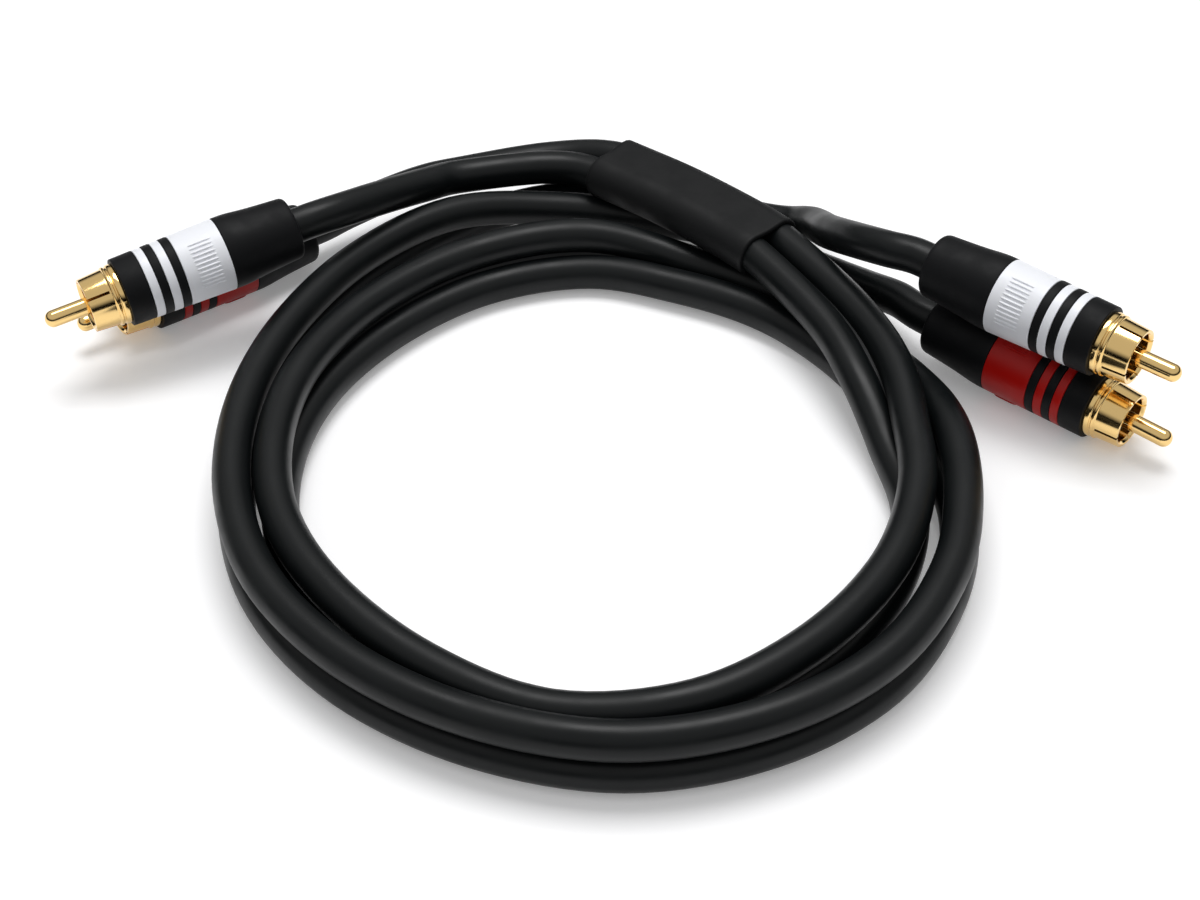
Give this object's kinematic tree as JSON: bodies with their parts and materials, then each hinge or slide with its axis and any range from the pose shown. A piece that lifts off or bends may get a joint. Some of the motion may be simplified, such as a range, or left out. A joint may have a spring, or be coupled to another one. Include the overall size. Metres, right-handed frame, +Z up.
{
  "type": "stereo phono cable",
  "caption": "Stereo audio patch cable: a twin jacket laid in an oval coil, with a white and a red phono plug at each end and a sheath over the crossing.",
  "frame": {"origin": "bottom centre of the box round the four plugs and the sheath, on the surface the cable lies on", "axes": "+Z up; +X from the left pair of plugs towards the right pair; +Y from the coil's free round end towards its crossing"},
  "size_m": [0.1978, 0.1661, 0.0289],
  "materials": {
    "jacket": "satin",
    "sheath": "matte",
    "molding": "matte",
    "white_band": "satin",
    "red_band": "satin",
    "gold": "polished",
    "insulator": "matte"
  },
  "bodies": {
    "root": {"left_white_boot": "molding", "left_white_color_sleeve": "white_band", "left_white_rear_ring": "molding", "left_white_front_ring": "molding", "left_white_front_collar": "molding", "left_white_ground_shell": "gold", "left_white_insulator": "insulator", "left_white_center_pin": "gold", "left_red_boot": "molding", "left_red_color_sleeve": "red_band", "left_red_rear_ring": "molding", "left_red_front_ring": "molding", "left_red_front_collar": "molding", "left_red_ground_shell": "gold", "left_red_insulator": "insulator", "left_red_center_pin": "gold", "right_white_boot": "molding", "right_white_color_sleeve": "white_band", "right_white_rear_ring": "molding", "right_white_front_ring": "molding", "right_white_front_collar": "molding", "right_white_ground_shell": "gold", "right_white_insulator": "insulator", "right_white_center_pin": "gold", "right_red_boot": "molding", "right_red_color_sleeve": "red_band", "right_red_rear_ring": "molding", "right_red_front_ring": "molding", "right_red_front_collar": "molding", "right_red_ground_shell": "gold", "right_red_insulator": "insulator", "right_red_center_pin": "gold", "sheath": "sheath", "cord_coil": "jacket", "cord_left_white": "jacket", "cord_left_red": "jacket", "cord_right_white": "jacket", "cord_right_red": "jacket"}
  },
  "joints": []
}
